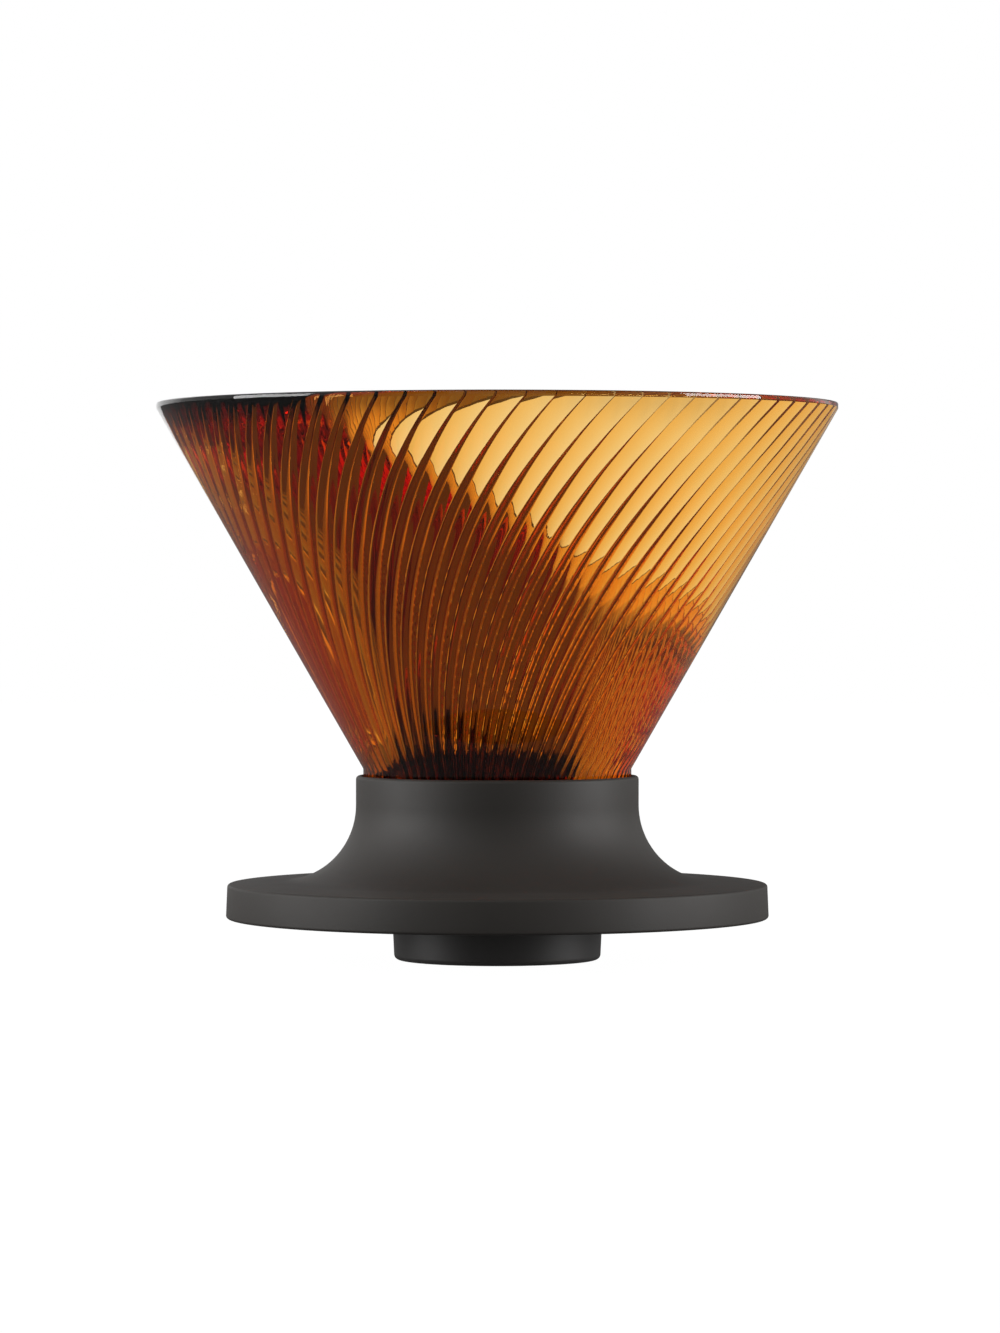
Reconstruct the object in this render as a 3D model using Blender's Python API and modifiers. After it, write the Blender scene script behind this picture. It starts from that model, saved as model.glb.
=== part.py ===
"""Pour over coffee dripper: a clear cone with spiral inner ribs that pushes into a flanged base.

Four moulded pieces stand on the drip collar's foot at Z 0, all turned about the Z axis:
  cone         funnel with 72 spiral ribs inside, a round skirt below it and a grooved spout
  base_flange  neck socket that takes the skirt, flared into the flange that sits on a mug
  drip_collar  ring pushed into the base from below, round the spout and the stream
  spout_seal   elastic ring in the spout's groove, which grips the collar's bore
Lengths are in metres.
"""

import math

import bmesh
import bpy

# ---------------------------------------------------------------- driving dimensions

TURN_STEPS = 72            # facets of every round piece, one for each rib
EDGE_STEPS = 2             # facets of a small rounded edge
SHARP_FROM = math.radians(35)   # edges that turn more than this stay crisp
SAME_POINT = 0.00001       # points nearer than this are one point

# cone: the funnel
RIM_RADIUS = 0.0580
CONE_HALF_ANGLE = math.radians(29.86)
CONE_WALL = 0.0024         # square to the wall, between the ribs
RIM_LAND = 0.0010          # short upright band at the rim
RIM_EDGE = 0.0003          # chamfer on the rim's outer edge

# cone: skirt and spout
SKIRT_RADIUS = 0.02285
SKIRT_WALL = 0.0018
SKIRT_LENGTH = 0.0125
SKIRT_SHOW = 0.0012        # how much skirt shows between funnel and neck
POCKET_FLAT = 0.0006       # width of the flat that ends the pocket inside the skirt
SPOUT_RADIUS = 0.0136
SPOUT_WALL = 0.0034        # between the straight outlet and the spout's outside
SPOUT_REACH = 0.0046       # how far the spout goes down into the collar
SPOUT_LAND = 0.00005       # least straight length of spout above the groove

# cone: the ribs
RIB_COUNT = 72
RIB_TWIST = math.radians(69.75)   # the turn that the spiral tends to, far down
RIB_TWIST_LENGTH = 0.0767         # depth below the rim in which it makes 63% of it
RIB_HEIGHT_AT_RIM = 0.00115       # square to the wall, where a rib runs out at the rim
RIB_HEIGHT = 0.00260              # the full height
RIB_GROWTH_DEPTH = 0.0220         # depth below the rim in which it grows to that
RIB_FLANK_AT_RIM = 0.12           # the steep flank's share of one rib's pitch
RIB_FLANK_BELOW = 0.40
RIB_FLANK_DEPTH = 0.0380          # depth in which the flank widens to that
RIB_FOOT_ABOVE_OUTLET = 0.0018
RIB_FOOT_FADE = 0.0040     # height in which a rib rises from the wall at its foot
RIB_UPPER_SPANS = 5        # straight lengths that make up a rib down to its full height
RIB_LOWER_SPANS = 7        # and from there to its foot

# base
COLLAR_DROP = 0.0071       # how far the collar stands out below the flange
FLANGE_RADIUS = 0.0462
FLANGE_THICKNESS = 0.0058
FLANGE_DRAFT = 0.0002
FLANGE_FALL = 0.0004       # drop of the flange's top from the flare to the edge
FLANGE_EDGE = 0.0005       # rounding of its two edges
NECK_WALL = 0.00095        # round the skirt's socket
NECK_HEIGHT = 0.0184       # above the flange's edge
NECK_EDGE = 0.0006
FLARE_RADIUS = 0.0130
WEB_THICKNESS = 0.0020     # floor of the neck's socket
FLARE_STEPS = 6

# drip collar
COLLAR_WALL = 0.0030       # at its upper bore
COLLAR_DRAFT = 0.0003
COLLAR_EDGE = 0.0009       # rounding of the foot's outer edge
COLLAR_STEP = 0.0005       # how much wider its lower bore is, clear of the stream
COLLAR_EASE = 0.0004       # chamfer at the ends of its bores

# spout seal
SEAL_WIDTH = 0.0016
SEAL_GROOVE_DEPTH = 0.0009
SEAL_SPAN = 0.0013         # room between spout and collar that the seal bridges
GROOVE_ABOVE_TIP = 0.0012
SEAL_BACK_STEPS = 4

# fits
SEAT_GAP = 0.0003          # between faces that rest on each other
SOCKET_CLEARANCE = 0.0003  # skirt in neck, on the radius
BORE_CLEARANCE = 0.0003    # collar in base, seal in collar and seal in groove, on the radius

# ---------------------------------------------------------------- worked-out places

SLOPE = math.tan(CONE_HALF_ANGLE)
WALL_ACROSS = CONE_WALL / math.cos(CONE_HALF_ANGLE)   # wall measured level

FLANGE_BOTTOM = COLLAR_DROP
FLANGE_TOP = FLANGE_BOTTOM + FLANGE_THICKNESS
NECK_TOP = FLANGE_TOP + NECK_HEIGHT
SKIRT_TOP = NECK_TOP + SKIRT_SHOW
SKIRT_BOTTOM = SKIRT_TOP - SKIRT_LENGTH
WEB_TOP = SKIRT_BOTTOM - SEAT_GAP
WEB_BOTTOM = WEB_TOP - WEB_THICKNESS
COLLAR_TOP = WEB_BOTTOM - SEAT_GAP
LAND_BOTTOM = SKIRT_TOP + (RIM_RADIUS - SKIRT_RADIUS) / SLOPE
RIM_TOP = LAND_BOTTOM + RIM_LAND
SPOUT_TIP = COLLAR_TOP - SPOUT_REACH
GROOVE_BOTTOM = SPOUT_TIP + GROOVE_ABOVE_TIP
GROOVE_TOP = GROOVE_BOTTOM + SEAL_WIDTH + 2 * SEAT_GAP


def funnel_outside(z):
    """Outer radius of the funnel's wall at height z."""
    return SKIRT_RADIUS + (z - SKIRT_TOP) * SLOPE


def funnel_inside(z):
    """Inner radius of the funnel at height z, between the ribs."""
    return funnel_outside(z) - WALL_ACROSS


def height_where_outside_is(radius):
    return SKIRT_TOP + (radius - SKIRT_RADIUS) / SLOPE


OUTLET_RADIUS = SPOUT_RADIUS - SPOUT_WALL
OUTLET_TOP = height_where_outside_is(OUTLET_RADIUS + WALL_ACROSS)
SPOUT_TOP = max(height_where_outside_is(SPOUT_RADIUS), GROOVE_TOP + SPOUT_LAND)
RIB_FOOT = max(OUTLET_TOP, SPOUT_TIP) + RIB_FOOT_ABOVE_OUTLET
NECK_RADIUS = SKIRT_RADIUS + SOCKET_CLEARANCE + NECK_WALL
COLLAR_BORE = max(SPOUT_RADIUS + SEAL_SPAN, funnel_outside(COLLAR_TOP) + 2 * BORE_CLEARANCE)
COLLAR_WIDE_BORE = COLLAR_BORE + COLLAR_STEP
COLLAR_RADIUS = COLLAR_BORE + COLLAR_WALL
WEB_HOLE = max(funnel_outside(WEB_TOP), COLLAR_BORE) + BORE_CLEARANCE

# ---------------------------------------------------------------- helpers


def clear_scene():
    for thing in list(bpy.data.objects):
        bpy.data.objects.remove(thing, do_unlink=True)


def new_collection(name):
    collection = bpy.data.collections.new(name)
    bpy.context.scene.collection.children.link(collection)
    return collection


def plastic(name, colour, roughness, transmission=0.0):
    material = bpy.data.materials.new(name)
    material.use_nodes = True
    shader = material.node_tree.nodes["Principled BSDF"]
    shader.inputs["Base Color"].default_value = (*colour, 1.0)
    shader.inputs["Roughness"].default_value = roughness
    shader.inputs["Metallic"].default_value = 0.0
    shader.inputs["Transmission Weight"].default_value = transmission
    material.diffuse_color = (*colour, 1.0)
    return material


def arc(centre_x, centre_z, radius, start, end, steps):
    """Points of an arc in the XZ plane, angles in degrees from +X towards +Z."""
    points = []
    for i in range(steps + 1):
        angle = math.radians(start + (end - start) * i / steps)
        x = centre_x + radius * math.cos(angle)
        z = centre_z + radius * math.sin(angle)
        points.append((x, z))
    return points


def without_repeats(outline):
    """The outline's points, without those that fall on the point before them."""
    kept = []
    for point in outline:
        if not kept or math.dist(point, kept[-1]) > SAME_POINT:
            kept.append(point)
    return kept


def turned(name, outline, collection, material):
    """A closed outline of (radius, height) points, turned about Z by a Screw modifier."""
    outline = without_repeats(outline)
    mesh = bpy.data.meshes.new(name)
    count = len(outline)
    corners = [(x, 0.0, z) for x, z in outline]
    edges = [(i, (i + 1) % count) for i in range(count)]
    mesh.from_pydata(corners, edges, [])
    thing = bpy.data.objects.new(name, mesh)
    collection.objects.link(thing)
    screw = thing.modifiers.new("turn", "SCREW")
    screw.axis = "Z"
    screw.angle = math.tau
    screw.steps = TURN_STEPS
    screw.render_steps = TURN_STEPS
    screw.use_merge_vertices = True
    screw.merge_threshold = SAME_POINT
    mesh.materials.append(material)
    return thing


def settle(thing):
    """Makes the modifiers' result the object's own mesh, smooth but for its crisp edges."""
    bpy.context.view_layer.update()
    graph = bpy.context.evaluated_depsgraph_get()
    mesh = bpy.data.meshes.new_from_object(thing.evaluated_get(graph))
    thing.modifiers.clear()
    thing.data = mesh
    mesh.name = thing.name
    mesh.shade_smooth()
    mesh.set_sharp_from_angle(angle=SHARP_FROM)


# ---------------------------------------------------------------- cone


def ramp(value, start, end):
    """0 at start, 1 at end, straight in between."""
    return min(1.0, max(0.0, (value - start) / (end - start)))


def rib_turn(z):
    """How far the spiral has turned at height z, counted down from the rim."""
    depth = RIM_TOP - z
    return -RIB_TWIST * (1.0 - math.exp(-depth / RIB_TWIST_LENGTH))


def rib_height(z):
    """A rib grows from the rim down to its full height, and fades at its foot."""
    growth = ramp(z, RIM_TOP, RIM_TOP - RIB_GROWTH_DEPTH)
    standing = RIB_HEIGHT_AT_RIM + (RIB_HEIGHT - RIB_HEIGHT_AT_RIM) * growth
    return standing * ramp(z, RIB_FOOT, RIB_FOOT + RIB_FOOT_FADE)


def rib_flank(z):
    """Share of the pitch that the steep flank takes: it eases from one share to the other."""
    along = ramp(z, RIM_TOP, RIM_TOP - RIB_FLANK_DEPTH)
    eased = along * along * (3.0 - 2.0 * along)
    return RIB_FLANK_AT_RIM + (RIB_FLANK_BELOW - RIB_FLANK_AT_RIM) * eased


def filter_space_ring(z):
    """The outline of the space inside the ribs, at height z: a saw-tooth, steep on one side."""
    bore = max(funnel_inside(z), OUTLET_RADIUS)
    standing = rib_height(z) / math.cos(CONE_HALF_ANGLE)
    pitch = math.tau / RIB_COUNT
    ring = []
    for rib in range(RIB_COUNT):
        for along, radius in [(0.0, bore), (rib_flank(z), bore - standing)]:
            angle = (rib + along) * pitch + rib_turn(z)
            ring.append((radius * math.cos(angle), radius * math.sin(angle), z))
    return ring


def filter_space(collection):
    """Cutter for the funnel's inside: the spiral-ribbed plug that the wall leaves free."""
    past = 0.002
    full_low, full_high = RIB_FOOT + RIB_FOOT_FADE, RIM_TOP - RIB_GROWTH_DEPTH
    levels = [SPOUT_TIP - past, OUTLET_TOP, RIB_FOOT]
    for low, high, spans in [
        (full_low, full_high, RIB_LOWER_SPANS),
        (full_high, RIM_TOP + past, RIB_UPPER_SPANS),
    ]:
        levels += [low + (high - low) * i / spans for i in range(spans)]
    levels.append(RIM_TOP + past)
    shape = bmesh.new()
    rings = []
    for z in levels:
        rings.append([shape.verts.new(point) for point in filter_space_ring(z)])
    around = len(rings[0])
    for low, high in zip(rings, rings[1:]):
        for i in range(around):
            j = (i + 1) % around
            shape.faces.new((low[i], low[j], high[j], high[i]))
    shape.faces.new(list(reversed(rings[0])))
    shape.faces.new(rings[-1])
    mesh = bpy.data.meshes.new("filter_space")
    bmesh.ops.recalc_face_normals(shape, faces=shape.faces)
    shape.to_mesh(mesh)
    shape.free()
    cutter = bpy.data.objects.new("filter_space", mesh)
    cutter.hide_render = True
    cutter.display_type = "WIRE"
    collection.objects.link(cutter)
    return cutter


def make_cone(parts, cutters, material):
    """Funnel, skirt and grooved spout in one turned solid, with the filter space cut out."""
    core = OUTLET_RADIUS / 2
    pocket_outer = SKIRT_RADIUS - SKIRT_WALL
    pocket_inner = pocket_outer - POCKET_FLAT
    groove_radius = SPOUT_RADIUS - SEAL_GROOVE_DEPTH
    outline = [
        (core, RIM_TOP),
        (RIM_RADIUS - RIM_EDGE, RIM_TOP),
        (RIM_RADIUS, RIM_TOP - RIM_EDGE),
        (RIM_RADIUS, LAND_BOTTOM),
        (SKIRT_RADIUS, SKIRT_TOP),
        (SKIRT_RADIUS, SKIRT_BOTTOM),
        (pocket_outer, SKIRT_BOTTOM),
        (pocket_outer, height_where_outside_is(pocket_inner)),
        (pocket_inner, height_where_outside_is(pocket_inner)),
        (funnel_outside(SPOUT_TOP), SPOUT_TOP),
        (SPOUT_RADIUS, SPOUT_TOP),
        (SPOUT_RADIUS, GROOVE_TOP),
        (groove_radius, GROOVE_TOP),
        (groove_radius, GROOVE_BOTTOM),
        (SPOUT_RADIUS, GROOVE_BOTTOM),
        (SPOUT_RADIUS, SPOUT_TIP),
        (core, SPOUT_TIP),
    ]
    cone = turned("cone", outline, parts, material)
    cut = cone.modifiers.new("filter_space", "BOOLEAN")
    cut.operation = "DIFFERENCE"
    cut.solver = "EXACT"
    cut.object = filter_space(cutters)
    settle(cone)


# ---------------------------------------------------------------- base, collar and seal


def make_base(parts, material):
    """Neck socket, flare and flange, with a floor that carries the skirt."""
    socket = SKIRT_RADIUS + SOCKET_CLEARANCE
    collar_socket = COLLAR_RADIUS + BORE_CLEARANCE
    flare_foot = NECK_RADIUS + FLARE_RADIUS
    flare_bottom = FLANGE_TOP + FLANGE_FALL
    edge_radius = FLANGE_RADIUS - FLANGE_DRAFT
    outline = [(socket, NECK_TOP - NECK_EDGE / 2), (socket + NECK_EDGE / 2, NECK_TOP)]
    outline += arc(NECK_RADIUS - NECK_EDGE, NECK_TOP - NECK_EDGE, NECK_EDGE, 90, 0, EDGE_STEPS)
    outline += arc(flare_foot, flare_bottom + FLARE_RADIUS, FLARE_RADIUS, 180, 270, FLARE_STEPS)
    for edge, low, start in [
        (edge_radius, FLANGE_TOP - FLANGE_EDGE, 90),
        (FLANGE_RADIUS, FLANGE_BOTTOM + FLANGE_EDGE, 0),
    ]:
        outline += arc(edge - FLANGE_EDGE, low, FLANGE_EDGE, start, start - 90, EDGE_STEPS)
    outline += [
        (collar_socket, FLANGE_BOTTOM),
        (collar_socket, WEB_BOTTOM),
        (WEB_HOLE, WEB_BOTTOM),
        (WEB_HOLE, WEB_TOP),
        (socket, WEB_TOP),
    ]
    settle(turned("base_flange", outline, parts, material))


def make_collar(parts, material):
    """Ring round the spout: its upper bore takes the seal, and its foot stands on the table."""
    foot_radius = COLLAR_RADIUS - COLLAR_DRAFT
    bore_step = SPOUT_TIP - COLLAR_EASE
    outline = [
        (COLLAR_BORE + COLLAR_EASE, COLLAR_TOP),
        (COLLAR_RADIUS - COLLAR_EASE, COLLAR_TOP),
        (COLLAR_RADIUS, COLLAR_TOP - COLLAR_EASE),
        (COLLAR_RADIUS, FLANGE_BOTTOM),
    ]
    outline += arc(foot_radius - COLLAR_EDGE, COLLAR_EDGE, COLLAR_EDGE, 0, -90, EDGE_STEPS)
    outline += [
        (COLLAR_WIDE_BORE + COLLAR_EASE, 0.0),
        (COLLAR_WIDE_BORE, COLLAR_EASE),
        (COLLAR_WIDE_BORE, bore_step - COLLAR_STEP),
        (COLLAR_BORE, bore_step),
        (COLLAR_BORE, COLLAR_TOP - COLLAR_EASE),
    ]
    settle(turned("drip_collar", outline, parts, material))


def make_seal(parts, material):
    """Elastic ring with a round back, shown seated in the groove."""
    inside = SPOUT_RADIUS - SEAL_GROOVE_DEPTH + BORE_CLEARANCE
    outside = COLLAR_BORE - BORE_CLEARANCE
    low = GROOVE_BOTTOM + SEAT_GAP
    half = SEAL_WIDTH / 2
    outline = [(inside, low + SEAL_WIDTH)]
    outline += arc(outside - half, low + half, half, 90, -90, SEAL_BACK_STEPS)
    outline += [(inside, low)]
    settle(turned("spout_seal", outline, parts, material))


def main():
    clear_scene()
    parts = new_collection("pour_over_dripper")
    cutters = new_collection("cutters")
    amber = plastic("amber_resin", (0.80, 0.30, 0.03), 0.05, transmission=1.0)
    charcoal = plastic("charcoal_plastic", (0.030, 0.028, 0.026), 0.55)
    black = plastic("black_plastic", (0.017, 0.016, 0.017), 0.45)
    rubber = plastic("seal_rubber", (0.10, 0.10, 0.10), 0.70)
    make_cone(parts, cutters, amber)
    make_base(parts, charcoal)
    make_collar(parts, black)
    make_seal(parts, rubber)


main()
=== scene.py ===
"""Looks of a pour over coffee dripper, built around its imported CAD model.

A clear amber funnel with 72 spiral ribs stands in a matte charcoal base, with a black drip
collar below and an elastic seal hidden between the two. Lengths are in metres, +Z is up and
-Y is towards the viewer.
"""

from __future__ import annotations

import logging
import math
from dataclasses import dataclass, field
from enum import Enum

import bmesh
import bpy
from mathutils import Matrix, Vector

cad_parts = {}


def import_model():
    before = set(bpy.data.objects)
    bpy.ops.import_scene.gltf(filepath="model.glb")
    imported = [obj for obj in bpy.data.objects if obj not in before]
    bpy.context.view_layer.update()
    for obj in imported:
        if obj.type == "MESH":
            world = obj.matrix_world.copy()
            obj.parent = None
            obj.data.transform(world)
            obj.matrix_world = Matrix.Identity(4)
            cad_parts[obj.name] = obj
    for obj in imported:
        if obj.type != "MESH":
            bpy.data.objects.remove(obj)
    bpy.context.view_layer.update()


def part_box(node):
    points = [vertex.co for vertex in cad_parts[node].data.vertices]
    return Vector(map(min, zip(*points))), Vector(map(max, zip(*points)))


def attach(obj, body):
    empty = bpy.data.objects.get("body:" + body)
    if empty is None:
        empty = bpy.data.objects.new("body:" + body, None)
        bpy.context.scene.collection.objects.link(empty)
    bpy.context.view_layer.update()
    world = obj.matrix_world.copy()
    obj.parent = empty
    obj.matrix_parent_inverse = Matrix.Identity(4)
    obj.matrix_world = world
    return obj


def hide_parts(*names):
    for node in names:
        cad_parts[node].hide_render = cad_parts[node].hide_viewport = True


LOG = logging.getLogger("dripper")

MM = 0.001
UP = (0.0, 0.0, 1.0)
ORIGIN = (0.0, 0.0, 0.0)
WHITE = (1.0, 1.0, 1.0, 1.0)
CRISP_ANGLE = 32.0
NOISE_SPAN = (0.3, 0.7)
GRID_DIGITS = 6

Point = tuple[float, float]
Span = tuple[float, float]
Place = tuple[float, float, float]
Colour = tuple[float, float, float]


class Slot(Enum):
    """Names of the material slots: amber resin, charcoal plastic, black plastic and seal rubber."""

    AMBER = "amber_resin"
    CHARCOAL = "charcoal_plastic"
    BLACK = "black_plastic"
    RUBBER = "seal_rubber"


# ---------------------------------------------------------------- outlines


def arc(centre: Point, radius: float, start: float, end: float, steps: int) -> list[Point]:
    """Points of an arc in the radius and height plane.

    Args:
        centre: Radius and height of the arc's centre.
        radius: Radius of the arc.
        start: Angle of its first point, in degrees from outwards towards up.
        end: Angle of its last point.
        steps: Number of straight lengths.

    Returns:
        The steps + 1 points, first to last.
    """
    points = []
    for i in range(steps + 1):
        angle = math.radians(start + (end - start) * i / steps)
        points.append((centre[0] + radius * math.cos(angle), centre[1] + radius * math.sin(angle)))
    return points


def eased(share: float) -> float:
    """Smooth step from 0 to 1 over a share that is held between the two."""
    held = min(1.0, max(0.0, share))
    return held * held * (3.0 - 2.0 * held)


def straight(share: float) -> float:
    """The share itself, held between 0 and 1."""
    return min(1.0, max(0.0, share))


# ---------------------------------------------------------------- modelling by operators


class Bench:
    """Modelling steps shared by the pieces, each made with Blender's own operators."""

    MERGE = 2e-6

    @staticmethod
    def clear_selection() -> None:
        """Leaves nothing selected, so that an operator only acts on the new piece."""
        bpy.ops.object.select_all(action="DESELECT")

    @classmethod
    def turned(cls, name: str, outline: list[Point], steps: int, crisp: float) -> bpy.types.Object:
        """A closed outline, drawn from one point by extrusions and spun about Z.

        Args:
            name: Name of the new object.
            outline: Radius and height of each corner, in order round the section.
            steps: Facets of the full turn.
            crisp: Edges that turn by more than this many degrees stay crisp.

        Returns:
            The new object, at the origin.
        """
        cls.clear_selection()
        start = outline[0]
        bpy.ops.mesh.primitive_plane_add(size=MM, location=(start[0], 0.0, start[1]))
        piece = bpy.context.object
        piece.name = name
        piece.data.name = name
        bpy.ops.object.transform_apply(location=True)
        bpy.ops.object.mode_set(mode="EDIT")
        bpy.ops.mesh.select_all(action="SELECT")
        bpy.ops.mesh.merge(type="CENTER")
        for here, there in zip(outline, outline[1:] + outline[:1]):
            step = (there[0] - here[0], 0.0, there[1] - here[1])
            bpy.ops.mesh.extrude_region_move(TRANSFORM_OT_translate={"value": step})
        bpy.ops.mesh.select_all(action="SELECT")
        bpy.ops.mesh.remove_doubles(threshold=cls.MERGE)
        bpy.ops.mesh.select_all(action="SELECT")
        bpy.ops.mesh.spin(steps=steps, angle=math.tau, center=ORIGIN, axis=UP)
        cls.close_up(crisp)
        return piece

    @classmethod
    def close_up(cls, crisp: float) -> None:
        """Merges the seams of the piece in edit mode, turns its faces out and shades it smooth."""
        bpy.ops.mesh.select_all(action="SELECT")
        bpy.ops.mesh.remove_doubles(threshold=cls.MERGE)
        bpy.ops.mesh.select_all(action="SELECT")
        bpy.ops.mesh.normals_make_consistent(inside=False)
        bpy.ops.object.mode_set(mode="OBJECT")
        bpy.ops.object.shade_smooth_by_angle(angle=math.radians(crisp))


# ---------------------------------------------------------------- finishes


def new_material(name: str) -> tuple[bpy.types.Material, bpy.types.NodeTree, bpy.types.Node]:
    """A material with nodes, its node tree and its Principled shader."""
    material = bpy.data.materials.new(name)
    material.use_nodes = True
    tree = material.node_tree
    return material, tree, tree.nodes["Principled BSDF"]


class MouldedSkin:
    """Node group for the skin that a mould leaves: fine grain, faint mottle and uneven gloss."""

    NAME = "moulded_skin"
    MOTTLE_DETAIL = 4.0
    MOTTLE_ROUGHNESS = 0.6
    GRAIN_DETAIL = 2.0
    INPUTS = {
        "Grain Scale": 4000.0,
        "Grain Depth": 0.00002,
        "Mottle Scale": 60.0,
        "Sheen Low": 0.4,
        "Sheen High": 0.5,
    }

    @classmethod
    def group(cls) -> bpy.types.NodeTree:
        """The group, built the first time that it is asked for."""
        if cls.NAME in bpy.data.node_groups:
            return bpy.data.node_groups[cls.NAME]
        tree = bpy.data.node_groups.new(cls.NAME, "ShaderNodeTree")
        sockets = tree.interface
        sockets.new_socket("Vector", in_out="INPUT", socket_type="NodeSocketVector")
        for name, value in cls.INPUTS.items():
            socket = sockets.new_socket(name, in_out="INPUT", socket_type="NodeSocketFloat")
            socket.default_value = value
        sockets.new_socket("Mottle", in_out="OUTPUT", socket_type="NodeSocketFloat")
        sockets.new_socket("Roughness", in_out="OUTPUT", socket_type="NodeSocketFloat")
        sockets.new_socket("Normal", in_out="OUTPUT", socket_type="NodeSocketVector")
        cls.wire(tree)
        return tree

    @classmethod
    def wire(cls, tree: bpy.types.NodeTree) -> None:
        """Places and links the group's nodes."""
        nodes, links = tree.nodes, tree.links
        given = nodes.new("NodeGroupInput")
        made = nodes.new("NodeGroupOutput")
        mottle = nodes.new("ShaderNodeTexNoise")
        mottle.inputs["Detail"].default_value = cls.MOTTLE_DETAIL
        mottle.inputs["Roughness"].default_value = cls.MOTTLE_ROUGHNESS
        grain = nodes.new("ShaderNodeTexNoise")
        grain.inputs["Detail"].default_value = cls.GRAIN_DETAIL
        span = nodes.new("ShaderNodeMapRange")
        span.inputs["From Min"].default_value = NOISE_SPAN[0]
        span.inputs["From Max"].default_value = NOISE_SPAN[1]
        bump = nodes.new("ShaderNodeBump")
        bump.inputs["Strength"].default_value = 1.0
        links.new(given.outputs["Vector"], mottle.inputs["Vector"])
        links.new(given.outputs["Vector"], grain.inputs["Vector"])
        links.new(given.outputs["Mottle Scale"], mottle.inputs["Scale"])
        links.new(given.outputs["Grain Scale"], grain.inputs["Scale"])
        links.new(given.outputs["Grain Depth"], bump.inputs["Distance"])
        links.new(given.outputs["Sheen Low"], span.inputs["To Min"])
        links.new(given.outputs["Sheen High"], span.inputs["To Max"])
        links.new(mottle.outputs["Fac"], span.inputs["Value"])
        links.new(grain.outputs["Fac"], bump.inputs["Height"])
        links.new(mottle.outputs["Fac"], made.inputs["Mottle"])
        links.new(span.outputs["Result"], made.inputs["Roughness"])
        links.new(bump.outputs["Normal"], made.inputs["Normal"])

    @classmethod
    def place(cls, tree: bpy.types.NodeTree, values: dict[str, float]) -> bpy.types.Node:
        """Puts the group in a material, on Object coordinates.

        Args:
            tree: The material's node tree.
            values: The group's inputs that differ from their defaults.

        Returns:
            The group's node.
        """
        skin = tree.nodes.new("ShaderNodeGroup")
        skin.node_tree = cls.group()
        for name, value in values.items():
            skin.inputs[name].default_value = value
        where = tree.nodes.new("ShaderNodeTexCoord")
        tree.links.new(where.outputs["Object"], skin.inputs["Vector"])
        return skin


@dataclass(frozen=True)
class ClearResin:
    """Clear tinted resin: colour comes from the thickness that light crosses."""

    name: str = "amber_resin_clear"
    refraction: float = 1.5
    passed: Colour = (0.95, 0.575, 0.165)
    passed_over: float = 3.0 * MM
    haze: Span = (0.0, 0.02)
    ripple_scale: float = 90.0
    ripple_depth: float = 0.000004

    def material(self) -> bpy.types.Material:
        """The finished material."""
        material, tree, shader = new_material(self.name)
        shader.inputs["Base Color"].default_value = WHITE
        shader.inputs["Transmission Weight"].default_value = 1.0
        shader.inputs["IOR"].default_value = self.refraction
        skin = MouldedSkin.place(
            tree,
            {
                "Grain Scale": self.ripple_scale,
                "Grain Depth": self.ripple_depth,
                "Sheen Low": self.haze[0],
                "Sheen High": self.haze[1],
            },
        )
        tree.links.new(skin.outputs["Roughness"], shader.inputs["Roughness"])
        tree.links.new(skin.outputs["Normal"], shader.inputs["Normal"])
        rates = [-math.log(share) / self.passed_over for share in self.passed]
        density = max(rates)
        tint = tree.nodes.new("ShaderNodeVolumeAbsorption")
        tint.inputs["Color"].default_value = (*[1.0 - rate / density for rate in rates], 1.0)
        tint.inputs["Density"].default_value = density
        out = tree.nodes["Material Output"]
        tree.links.new(tint.outputs["Volume"], out.inputs["Volume"])
        return material


@dataclass(frozen=True)
class MattePlastic:
    """Opaque moulded plastic with a fine grain and a faint unevenness of tone."""

    name: str
    dark: Colour
    light: Colour
    sheen: Span
    grain_scale: float = 3500.0
    grain_depth: float = 0.00001
    mottle_scale: float = 45.0

    def material(self) -> bpy.types.Material:
        """The finished material."""
        material, tree, shader = new_material(self.name)
        skin = MouldedSkin.place(
            tree,
            {
                "Grain Scale": self.grain_scale,
                "Grain Depth": self.grain_depth,
                "Mottle Scale": self.mottle_scale,
                "Sheen Low": self.sheen[0],
                "Sheen High": self.sheen[1],
            },
        )
        tone = tree.nodes.new("ShaderNodeValToRGB")
        tone.color_ramp.elements[0].position = NOISE_SPAN[0]
        tone.color_ramp.elements[0].color = (*self.dark, 1.0)
        tone.color_ramp.elements[1].position = NOISE_SPAN[1]
        tone.color_ramp.elements[1].color = (*self.light, 1.0)
        tree.links.new(skin.outputs["Mottle"], tone.inputs["Fac"])
        tree.links.new(tone.outputs["Color"], shader.inputs["Base Color"])
        tree.links.new(skin.outputs["Roughness"], shader.inputs["Roughness"])
        tree.links.new(skin.outputs["Normal"], shader.inputs["Normal"])
        return material


CLEAR_AMBER = ClearResin()
WARM_CHARCOAL = MattePlastic(
    name="charcoal_matte",
    dark=(0.024, 0.021, 0.018),
    light=(0.029, 0.025, 0.022),
    sheen=(0.58, 0.66),
)
SATIN_BLACK = MattePlastic(
    name="black_satin",
    dark=(0.054, 0.051, 0.050),
    light=(0.064, 0.061, 0.060),
    sheen=(0.42, 0.50),
    grain_depth=0.000006,
)
GREY_RUBBER = MattePlastic(
    name="seal_rubber_soft",
    dark=(0.085, 0.085, 0.085),
    light=(0.115, 0.115, 0.115),
    sheen=(0.62, 0.74),
    mottle_scale=120.0,
)


# ---------------------------------------------------------------- funnel


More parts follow.
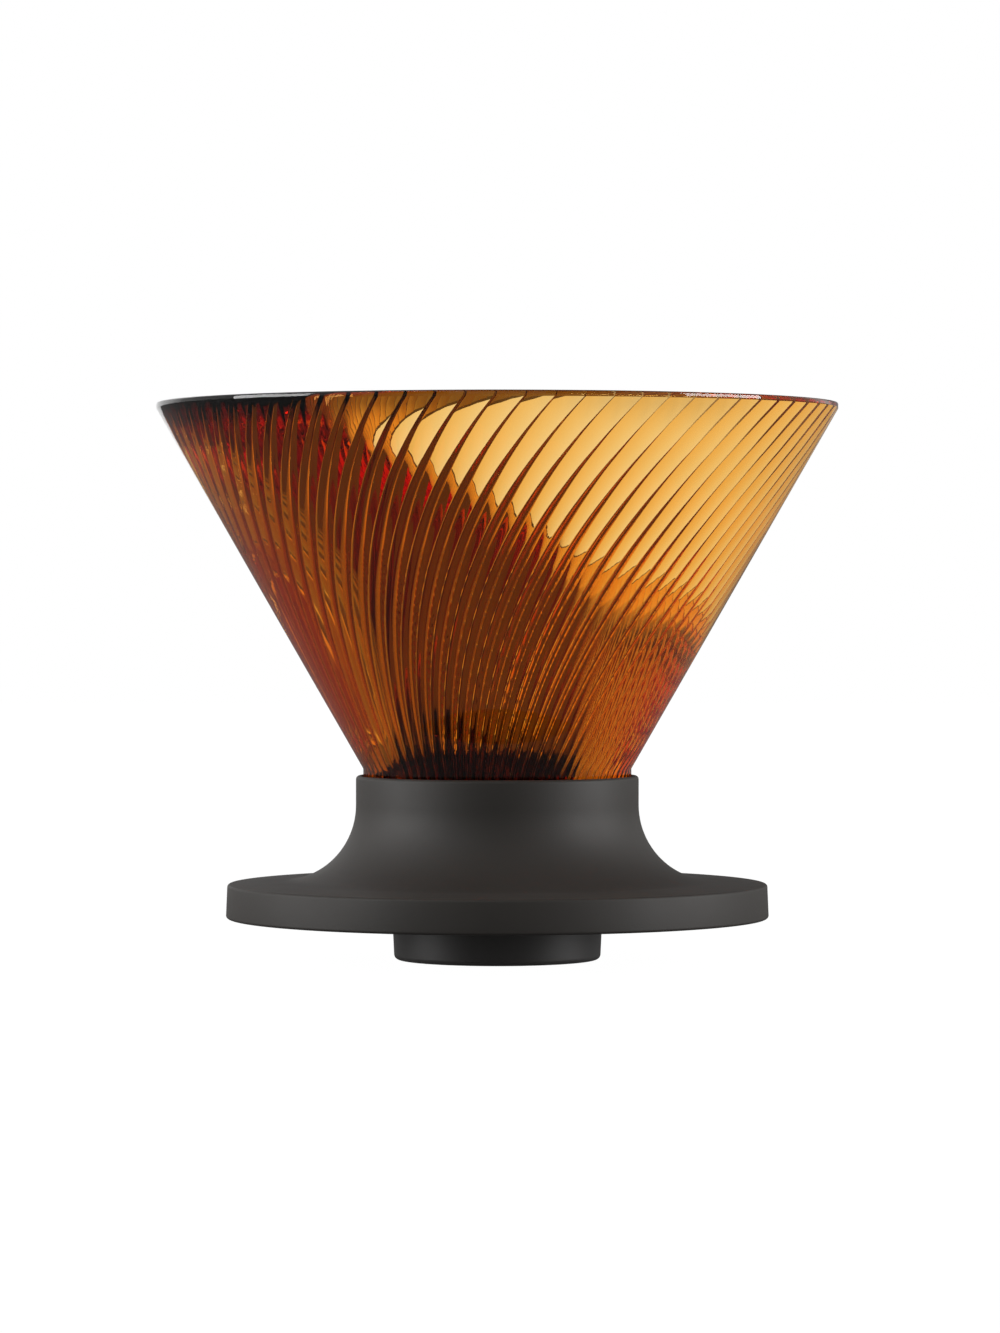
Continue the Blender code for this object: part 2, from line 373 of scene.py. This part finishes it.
@dataclass(frozen=True)
class Ribs:
    """The saw-tooth ribs inside the funnel, each steep on one side, turning as they go down."""

    count: int = 72
    full_turn: float = math.radians(69.75)
    turn_length: float = 76.7 * MM
    height_at_rim: float = 1.15 * MM
    height: float = 2.45 * MM
    growth_depth: float = 22.0 * MM
    flank_at_rim: float = 0.04
    flank_below: float = 0.38
    flank_depth: float = 34.0 * MM
    crest_at_rim: float = 0.08 * MM
    crest_round: float = 0.55 * MM
    valley_share: float = 0.38
    rounding_depth: float = 30.0 * MM
    most_rounding: float = 0.45
    hollow: float = 0.02
    crest_columns: tuple[float, ...] = (-1.0, -0.6, -0.2, 0.2, 0.6, 1.0)
    ramp_columns: tuple[float, ...] = (0.04, 0.35, 0.65, 0.96)

    def pitch(self) -> float:
        """Angle from one rib to the next."""
        return math.tau / self.count

    def turn(self, depth: float) -> float:
        """How far a rib has turned at this depth below the rim."""
        return -self.full_turn * (1.0 - math.exp(-depth / self.turn_length))

    def standing(self, depth: float) -> float:
        """Height of a rib above the wall at this depth, square to the wall."""
        growth = straight(depth / self.growth_depth)
        return self.height_at_rim + (self.height - self.height_at_rim) * growth

    def flank(self, depth: float) -> float:
        """Share of the pitch that the steep flank takes."""
        widening = eased(depth / self.flank_depth)
        return self.flank_at_rim + (self.flank_below - self.flank_at_rim) * widening

    def section(self, depth: float, bore: float, half_angle: float) -> list[Point]:
        """One pitch of the saw-tooth at a depth.

        Args:
            depth: Depth below the rim.
            bore: Inner radius of the funnel there, between the ribs.
            half_angle: The funnel's half angle.

        Returns:
            Share of the pitch and height of each column, from a valley up the flank, over the
            crest and down the ramp.
        """
        run = self.full_turn / self.turn_length * math.exp(-max(depth, 0.0) / self.turn_length)
        slant = math.atan(run * bore * math.cos(half_angle))
        across = bore * self.pitch() * math.cos(slant)
        flank = self.flank(depth)
        top = self.standing(depth)
        up, down = top / flank, top / (1.0 - flank)
        blunt = self.crest_at_rim
        blunt += (self.crest_round - blunt) * eased(depth / self.rounding_depth)
        crest = min(blunt / across, self.most_rounding * flank)
        valley = min(blunt * self.valley_share / across, self.most_rounding * flank)

        def rounded(share: float, half: float, level: float, sign: float) -> float:
            """Height on the curve that joins flank and ramp, at a share from its middle."""
            bow = (up + down) / (4.0 * half)
            return level + (up - down) / 2.0 * share + sign * bow * (share * share + half * half)

        columns = [(valley * t, rounded(valley * t, valley, 0.0, 1.0)) for t in (0.0, 0.5, 1.0)]
        for t in self.crest_columns:
            columns.append((flank + crest * t, rounded(crest * t, crest, top, -1.0)))
        start, end = flank + crest, 1.0 - valley
        for t in self.ramp_columns:
            share = start + (end - start) * t
            sag = self.hollow * top * 4.0 * t * (1.0 - t)
            columns.append((share, top - down * (share - flank) - sag))
        for t in (-1.0, -0.5):
            columns.append((1.0 + valley * t, rounded(valley * t, valley, 0.0, 1.0)))
        return columns


@dataclass
class Funnel:
    """The clear funnel, in one piece with its skirt and its grooved spout."""

    rim_top: float
    rim_radius: float
    spout_tip: float
    half_angle: float = math.radians(29.86)
    wall: float = 2.4 * MM
    rim_land: float = 1.0 * MM
    rim_edge: float = 0.3 * MM
    rim_inner_edge: float = 0.15 * MM
    skirt_radius: float = 22.85 * MM
    skirt_wall: float = 1.8 * MM
    skirt_length: float = 12.5 * MM
    pocket_flat: float = 0.6 * MM
    outlet_radius: float = 10.2 * MM
    spout_radius: float = 13.6 * MM
    groove_depth: float = 0.9 * MM
    groove_above_tip: float = 1.2 * MM
    groove_width: float = 2.2 * MM
    small_edge: float = 0.2 * MM
    rib_foot_above_outlet: float = 1.8 * MM
    rib_foot_fade: float = 4.0 * MM
    inner_rows: int = 54
    outer_rows: int = 8
    ribs: Ribs = field(default_factory=Ribs)
    finish: ClearResin = CLEAR_AMBER

    def across(self) -> float:
        """The wall's thickness measured level."""
        return self.wall / math.cos(self.half_angle)

    def skirt_top(self) -> float:
        """Height where the funnel's outside meets the skirt."""
        rise = (self.rim_radius - self.skirt_radius) / math.tan(self.half_angle)
        return self.rim_top - self.rim_land - rise

    def outside(self, z: float) -> float:
        """Outer radius of the funnel at height z."""
        return self.skirt_radius + (z - self.skirt_top()) * math.tan(self.half_angle)

    def height_at(self, radius: float) -> float:
        """Height where the funnel's outside has this radius."""
        return self.skirt_top() + (radius - self.skirt_radius) / math.tan(self.half_angle)

    def bore(self, z: float) -> float:
        """Inner radius between the ribs at height z."""
        return max(self.outside(z) - self.across(), self.outlet_radius)

    def outlet_top(self) -> float:
        """Height where the funnel's inside meets the straight outlet."""
        return self.height_at(self.outlet_radius + self.across())

    def fade(self, z: float) -> float:
        """1 where the ribs stand full, falling to 0 at their feet."""
        foot = self.outlet_top() + self.rib_foot_above_outlet
        return straight((z - foot) / self.rib_foot_fade)

    def inside_rows(self) -> list[tuple[float, float]]:
        """Height and set-back of each ribbed row, from the rim down to the outlet."""
        edge = self.rim_inner_edge
        rows = []
        for angle in (90.0, 60.0, 30.0):
            drop = edge * (1.0 - math.sin(math.radians(angle)))
            back = edge * (1.0 - math.cos(math.radians(angle)))
            rows.append((self.rim_top - drop, -(edge - back)))
        start, end = self.rim_top - edge, self.outlet_top()
        for i in range(self.inner_rows + 1):
            rows.append((start + (end - start) * i / self.inner_rows, 0.0))
        return rows

    def outside_rows(self) -> list[Point]:
        """Radius and height of each round row, from the outlet round the tip and up to the rim."""
        edge = self.small_edge
        tip = self.spout_tip
        spout, groove = self.spout_radius, self.spout_radius - self.groove_depth
        low, high = tip + self.groove_above_tip, tip + self.groove_above_tip + self.groove_width
        pocket = self.skirt_radius - self.skirt_wall
        inner = pocket - self.pocket_flat
        skirt_bottom = self.skirt_top() - self.skirt_length
        rows = arc((self.outlet_radius + edge, tip + edge), edge, 180, 270, 2)
        rows += arc((spout - edge, tip + edge), edge, 270, 360, 2)
        rows += [(spout, low), (groove, low), (groove, high), (spout, high)]
        rows += [(spout, self.height_at(spout)), (inner, self.height_at(inner))]
        rows += [(pocket, self.height_at(inner)), (pocket, skirt_bottom)]
        rows += arc((self.skirt_radius - edge, skirt_bottom + edge), edge, 270, 360, 2)
        top = self.rim_top - self.rim_land
        for i in range(self.outer_rows + 1):
            z = self.skirt_top() + (top - self.skirt_top()) * i / self.outer_rows
            rows.append((self.outside(z), z))
        rim = self.rim_radius - self.rim_edge
        rows += arc((rim, self.rim_top - self.rim_edge), self.rim_edge, 0, 90, 3)
        return rows

    def row_points(self, z: float, radius: float | None, set_back: float, turn: float) -> list[Place]:
        """Places of one row's columns, over one pitch and the first column of the next.

        Args:
            z: Height of the row.
            radius: Its radius, or None on the ribbed inside.
            set_back: How far a ribbed row lies inwards of the bore, outwards where negative.
            turn: Angle that the row starts at.

        Returns:
            The places, in order round the axis.
        """
        depth = self.rim_top - z
        columns = self.ribs.section(depth, self.bore(z), self.half_angle)
        columns.append((1.0 + columns[0][0], columns[0][1]))
        points = []
        for share, height in columns:
            angle = turn + share * self.ribs.pitch() - math.pi / 2.0
            if radius is None:
                away = self.bore(z) - set_back - height * self.fade(z) / math.cos(self.half_angle)
            else:
                away = radius
            points.append((away * math.cos(angle), away * math.sin(angle), z))
        return points

    def rows(self) -> list[list[Place]]:
        """Every row of one pitch, round the whole section and back to the first."""
        rows = []
        for z, set_back in self.inside_rows():
            rows.append(self.row_points(z, None, set_back, self.ribs.turn(self.rim_top - z)))
        turned = self.ribs.turn(self.rim_top - self.outlet_top())
        settled = round(turned / self.ribs.pitch()) * self.ribs.pitch()
        for radius, z in self.outside_rows():
            rows.append(self.row_points(z, radius, 0.0, settled))
        z, set_back = self.inside_rows()[0]
        rows.append(self.row_points(z, None, set_back, settled))
        return rows

    def build(self) -> bpy.types.Object:
        """Models one pitch from a grid, repeats it round the axis and dresses it.

        Returns:
            The funnel, riding on its body in place of its CAD node.
        """
        rows = self.rows()
        columns = len(rows[0])
        Bench.clear_selection()
        bpy.ops.mesh.primitive_grid_add(
            x_subdivisions=columns - 1,
            y_subdivisions=len(rows) - 1,
            size=2.0 * self.rim_radius,
        )
        piece = bpy.context.object
        piece.name = "funnel_clear"
        piece.data.name = "funnel_clear"
        bpy.ops.object.mode_set(mode="EDIT")
        shape = bmesh.from_edit_mesh(piece.data)
        shape.verts.ensure_lookup_table()
        ordered = sorted(
            shape.verts,
            key=lambda vert: (round(-vert.co.y, GRID_DIGITS), round(vert.co.x, GRID_DIGITS)),
        )
        places = [place for row in rows for place in row]
        for vert, place in zip(ordered, places):
            vert.co = place
        bmesh.update_edit_mesh(piece.data)
        others = self.ribs.count - 1
        bpy.ops.mesh.select_all(action="SELECT")
        bpy.ops.mesh.spin(
            steps=others,
            angle=math.tau * others / self.ribs.count,
            center=ORIGIN,
            axis=UP,
            dupli=True,
        )
        Bench.close_up(CRISP_ANGLE)
        piece.data.materials.clear()
        piece.data.materials.append(self.finish.material())
        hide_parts("cone")
        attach(piece, "funnel")
        LOG.info("funnel: %d faces in %d rows", len(piece.data.polygons), len(rows))
        return piece


# ---------------------------------------------------------------- base, collar and seal


@dataclass
class Base:
    """Neck socket that flares into the flange, with a floor that carries the skirt."""

    bottom: float
    top: float
    flange_radius: float
    flange_thickness: float = 5.8 * MM
    flange_draft: float = 0.2 * MM
    flange_fall: float = 0.4 * MM
    flange_edge: float = 0.5 * MM
    flange_edge_start: float = 88.0
    neck_radius: float = 24.1 * MM
    neck_edge: float = 0.6 * MM
    flare_radius: float = 13.0 * MM
    socket_radius: float = 23.15 * MM
    collar_socket: float = 18.2 * MM
    web_top: float = 19.7 * MM
    web_thickness: float = 2.0 * MM
    web_hole: float = 15.85 * MM
    inner_edge: float = 0.3 * MM
    steps: int = 192
    finish: MattePlastic = WARM_CHARCOAL

    def outline(self) -> list[Point]:
        """The section, from the socket's mouth over the neck and flange to the web."""
        flare_bottom = self.bottom + self.flange_thickness + self.flange_fall
        flare_foot = self.neck_radius + self.flare_radius
        upper = self.flange_radius - self.flange_draft - self.flange_edge
        lower = self.flange_radius - self.flange_edge
        edge = self.inner_edge
        mouth = (self.socket_radius + edge, self.top - edge)
        neck = (self.neck_radius - self.neck_edge, self.top - self.neck_edge)
        flange_top = self.bottom + self.flange_thickness - self.flange_edge
        points = arc(mouth, edge, 180, 90, 3)
        points += arc(neck, self.neck_edge, 90, 0, 6)
        points += arc((flare_foot, flare_bottom + self.flare_radius), self.flare_radius, 180, 270, 24)
        points += arc((upper, flange_top), self.flange_edge, self.flange_edge_start, 0, 6)
        points += arc((lower, self.bottom + self.flange_edge), self.flange_edge, 0, -90, 6)
        points += arc((self.collar_socket + edge, self.bottom + edge), edge, 270, 180, 3)
        points += [(self.collar_socket, self.web_top - self.web_thickness)]
        points += [(self.web_hole, self.web_top - self.web_thickness), (self.web_hole, self.web_top)]
        points += [(self.socket_radius, self.web_top)]
        return points

    def build(self) -> bpy.types.Object:
        """Models and dresses the base, which rides on its own body."""
        piece = Bench.turned("base_turned", self.outline(), self.steps, CRISP_ANGLE)
        piece.data.materials.append(self.finish.material())
        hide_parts("base_flange")
        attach(piece, "base")
        LOG.info("base: %d faces", len(piece.data.polygons))
        return piece


@dataclass
class DripCollar:
    """Ring below the flange, round the spout and the stream."""

    top: float
    radius: float
    flange_bottom: float
    spout_tip: float
    draft: float = 0.3 * MM
    edge: float = 0.9 * MM
    bore: float = 14.9 * MM
    wide_bore: float = 15.4 * MM
    ease: float = 0.4 * MM
    steps: int = 160
    finish: MattePlastic = SATIN_BLACK

    def outline(self) -> list[Point]:
        """The section, from the upper bore over the outside to the foot."""
        foot = self.radius - self.draft
        step = self.spout_tip - self.ease
        widen = self.wide_bore - self.bore
        points = arc((self.bore + self.ease, self.top - self.ease), self.ease, 180, 90, 3)
        points += arc((self.radius - self.ease, self.top - self.ease), self.ease, 90, 0, 3)
        points += [(self.radius, self.flange_bottom)]
        points += arc((foot - self.edge, self.edge), self.edge, 0, -90, 8)
        points += arc((self.wide_bore + self.ease, self.ease), self.ease, 270, 180, 3)
        points += [(self.wide_bore, step - widen), (self.bore, step)]
        return points

    def build(self) -> bpy.types.Object:
        """Models and dresses the collar, which rides on its own body."""
        piece = Bench.turned("drip_collar_turned", self.outline(), self.steps, CRISP_ANGLE)
        piece.data.materials.append(self.finish.material())
        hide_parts("drip_collar")
        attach(piece, "collar")
        LOG.info("drip collar: %d faces", len(piece.data.polygons))
        return piece


@dataclass
class SpoutSeal:
    """Elastic ring with a round back, seated in the spout's groove."""

    bottom: float
    top: float
    outside: float
    inside: float = 13.0 * MM
    edge: float = 0.1 * MM
    crisp: float = 40.0
    steps: int = 128
    finish: MattePlastic = GREY_RUBBER

    def outline(self) -> list[Point]:
        """The section, from its upper inner edge round the back to the lower one."""
        half = (self.top - self.bottom) / 2.0
        points = arc((self.inside + self.edge, self.top - self.edge), self.edge, 180, 90, 2)
        points += arc((self.outside - half, self.bottom + half), half, 90, -90, 14)
        points += arc((self.inside + self.edge, self.bottom + self.edge), self.edge, 270, 180, 2)
        return points

    def build(self) -> bpy.types.Object:
        """Models and dresses the seal, which rides on its own body."""
        piece = Bench.turned("spout_seal_turned", self.outline(), self.steps, self.crisp)
        piece.data.materials.append(self.finish.material())
        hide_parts("spout_seal")
        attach(piece, "seal")
        LOG.info("spout seal: %d faces", len(piece.data.polygons))
        return piece


# ---------------------------------------------------------------- studio


@dataclass(frozen=True)
class Softbox:
    """A soft rectangular lamp: its name, where it stands, its width and height, and its watts."""

    name: str
    place: Place
    size: Point
    power: float


SOFTBOXES = (
    Softbox(name="left_softbox", place=(-1.15, -0.2, 0.28), size=(0.7, 0.6), power=9.5),
    Softbox(name="right_softbox", place=(1.15, -0.2, 0.28), size=(0.7, 0.6), power=11.5),
    Softbox(name="front_fill", place=(0.0, -1.6, 0.35), size=(0.9, 0.9), power=0.4),
)


@dataclass
class Studio:
    """Camera, floor and soft light.

    Each panel of the room covers a span of directions: it eases in over an edge along X, Y or
    Z, up to its strength.
    """

    floor_height: float
    camera_distance: float = 852.5 * MM
    camera_height: float = 62.05 * MM
    lens: float = 135.03
    sensor: float = 36.0
    shift: Point = (0.002, -0.0536)
    clip_end: float = 20.0
    floor_size: float = 4.0
    back_edge: Span = (0.50, 0.80)
    overhead_edge: Span = (0.60, 0.80)
    overhead: float = 0.28
    left_edge: Span = (-0.50, -0.80)
    left: float = 0.55
    right_side_edge: Span = (0.50, 0.75)
    right_side: float = 0.35
    back_right_edge: Span = (-0.16, -0.02)
    back_right: float = 0.26
    right_edge: Span = (0.36, 0.56)
    right: float = 0.95
    back_top_edge: Span = (0.44, 0.60)
    back_top: float = 0.15
    panel_from: Span = (0.38, 0.52)
    panel_side: Span = (-0.05, -0.25)
    panel_behind: Span = (0.60, 0.40)
    panel: float = 0.9
    ambient: float = 0.05
    floor_glow: float = 0.045
    floor_seen: float = 0.7
    floor_strength: float = 1.42
    floor_colour: Colour = (0.05, 0.05, 0.05)
    floor_roughness: float = 0.9
    softboxes: tuple[Softbox, ...] = SOFTBOXES

    def camera(self) -> None:
        """A level long lens in front of the object."""
        lens = bpy.data.cameras.new("camera")
        lens.sensor_fit = "VERTICAL"
        lens.sensor_height = self.sensor
        lens.lens = self.lens
        lens.shift_x, lens.shift_y = self.shift
        lens.clip_end = self.clip_end
        camera = bpy.data.objects.new("camera", lens)
        camera.location = (0.0, -self.camera_distance, self.camera_height)
        camera.rotation_euler = (math.radians(90.0), 0.0, 0.0)
        bpy.context.scene.collection.objects.link(camera)
        bpy.context.scene.camera = camera

    def world(self) -> None:
        """White to camera rays, and a room of soft panels by direction for all other rays.

        One is behind the object, dimmer from the middle to the right and high up. Others are at
        both sides, overhead, and high on the left all round but behind.
        """
        world = bpy.data.worlds.new("studio")
        bpy.context.scene.world = world
        world.use_nodes = True
        nodes, links = world.node_tree.nodes, world.node_tree.links
        room = nodes["Background"]
        seen = nodes.new("ShaderNodeBackground")
        seen.inputs["Color"].default_value = WHITE
        where = nodes.new("ShaderNodeTexCoord")
        apart = nodes.new("ShaderNodeSeparateXYZ")

        def across(axis: str, edge: Span, low: float, high: float) -> bpy.types.NodeSocket:
            """Strength that eases from low to high over an edge along one axis."""
            wall = nodes.new("ShaderNodeMapRange")
            wall.interpolation_type = "SMOOTHSTEP"
            wall.inputs["From Min"].default_value = edge[0]
            wall.inputs["From Max"].default_value = edge[1]
            wall.inputs["To Min"].default_value = low
            wall.inputs["To Max"].default_value = high
            links.new(apart.outputs[axis], wall.inputs["Value"])
            return wall.outputs["Result"]

        def combined(
            operation: str, one: bpy.types.NodeSocket, other: bpy.types.NodeSocket
        ) -> bpy.types.NodeSocket:
            """Two strengths put together by one operation."""
            step = nodes.new("ShaderNodeMath")
            step.operation = operation
            links.new(one, step.inputs[0])
            links.new(other, step.inputs[1])
            return step.outputs["Value"]

        back = across("Y", self.back_edge, self.ambient, 1.0)
        shade = across("X", self.back_right_edge, 1.0, self.back_right)
        shade = combined("MAXIMUM", shade, across("X", self.right_edge, 0.0, self.right))
        back = combined("MULTIPLY", back, shade)
        back = combined("MULTIPLY", back, across("Z", self.back_top_edge, 1.0, self.back_top))
        panel = across("Z", self.panel_from, 0.0, self.panel)
        panel = combined("MULTIPLY", panel, across("X", self.panel_side, 0.0, 1.0))
        panel = combined("MULTIPLY", panel, across("Y", self.panel_behind, 0.0, 1.0))
        above = across("Z", self.overhead_edge, self.ambient, self.overhead)
        left = across("X", self.left_edge, self.ambient, self.left)
        right = across("X", self.right_side_edge, self.ambient, self.right_side)
        beside = combined("MAXIMUM", left, right)
        brightest = combined("MAXIMUM", back, panel)
        brightest = combined("MAXIMUM", brightest, combined("MAXIMUM", above, beside))
        path = nodes.new("ShaderNodeLightPath")
        pick = nodes.new("ShaderNodeMixShader")
        links.new(where.outputs["Generated"], apart.inputs["Vector"])
        links.new(brightest, room.inputs["Color"])
        links.new(path.outputs["Is Camera Ray"], pick.inputs["Fac"])
        links.new(room.outputs["Background"], pick.inputs[1])
        links.new(seen.outputs["Background"], pick.inputs[2])
        links.new(pick.outputs["Shader"], nodes["World Output"].inputs["Surface"])

    def lamp(self, softbox: Softbox) -> None:
        """Hangs a lamp that faces the object's middle and isn't seen through the resin."""
        light = bpy.data.lights.new(softbox.name, "AREA")
        light.shape = "RECTANGLE"
        light.size, light.size_y = softbox.size
        light.energy = softbox.power
        lamp = bpy.data.objects.new(softbox.name, light)
        lamp.location = softbox.place
        aim = lamp.location.copy()
        aim.z -= self.camera_height
        lamp.rotation_euler = aim.to_track_quat("Z", "Y").to_euler()
        lamp.visible_transmission = False
        bpy.context.scene.collection.objects.link(lamp)

    def floor(self) -> None:
        """A dark floor that is mostly self-lit to the camera, so that it reads white."""
        Bench.clear_selection()
        bpy.ops.mesh.primitive_plane_add(size=self.floor_size, location=(0.0, 0.0, self.floor_height))
        floor = bpy.context.object
        floor.name = "floor"
        material, tree, shader = new_material("floor_white")
        shader.inputs["Base Color"].default_value = (*self.floor_colour, 1.0)
        shader.inputs["Roughness"].default_value = self.floor_roughness
        glow = tree.nodes.new("ShaderNodeEmission")
        glow.inputs["Strength"].default_value = self.floor_strength
        path = tree.nodes.new("ShaderNodeLightPath")
        share = tree.nodes.new("ShaderNodeMapRange")
        share.inputs["To Min"].default_value = self.floor_glow
        share.inputs["To Max"].default_value = self.floor_seen
        pick = tree.nodes.new("ShaderNodeMixShader")
        tree.links.new(path.outputs["Is Camera Ray"], share.inputs["Value"])
        tree.links.new(share.outputs["Result"], pick.inputs["Fac"])
        tree.links.new(shader.outputs["BSDF"], pick.inputs[1])
        tree.links.new(glow.outputs["Emission"], pick.inputs[2])
        tree.links.new(pick.outputs["Shader"], tree.nodes["Material Output"].inputs["Surface"])
        floor.data.materials.append(material)

    def build(self) -> None:
        """Sets up the whole studio."""
        self.camera()
        self.world()
        self.floor()
        for softbox in self.softboxes:
            self.lamp(softbox)


# ---------------------------------------------------------------- assembly


def main() -> None:
    """Loads the frame, builds every piece around it and sets up the studio."""
    logging.basicConfig(level=logging.INFO)
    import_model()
    cone_low, cone_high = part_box("cone")
    base_low, base_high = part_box("base_flange")
    collar_low, collar_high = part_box("drip_collar")
    seal_low, seal_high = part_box("spout_seal")
    Funnel(rim_top=cone_high.z, rim_radius=cone_high.x, spout_tip=cone_low.z).build()
    Base(bottom=base_low.z, top=base_high.z, flange_radius=base_high.x).build()
    DripCollar(
        top=collar_high.z,
        radius=collar_high.x,
        flange_bottom=base_low.z,
        spout_tip=cone_low.z,
    ).build()
    SpoutSeal(bottom=seal_low.z, top=seal_high.z, outside=seal_high.x).build()
    Studio(floor_height=collar_low.z).build()
    bpy.context.scene.view_settings.view_transform = "Standard"


if __name__ == "__main__":
    main()
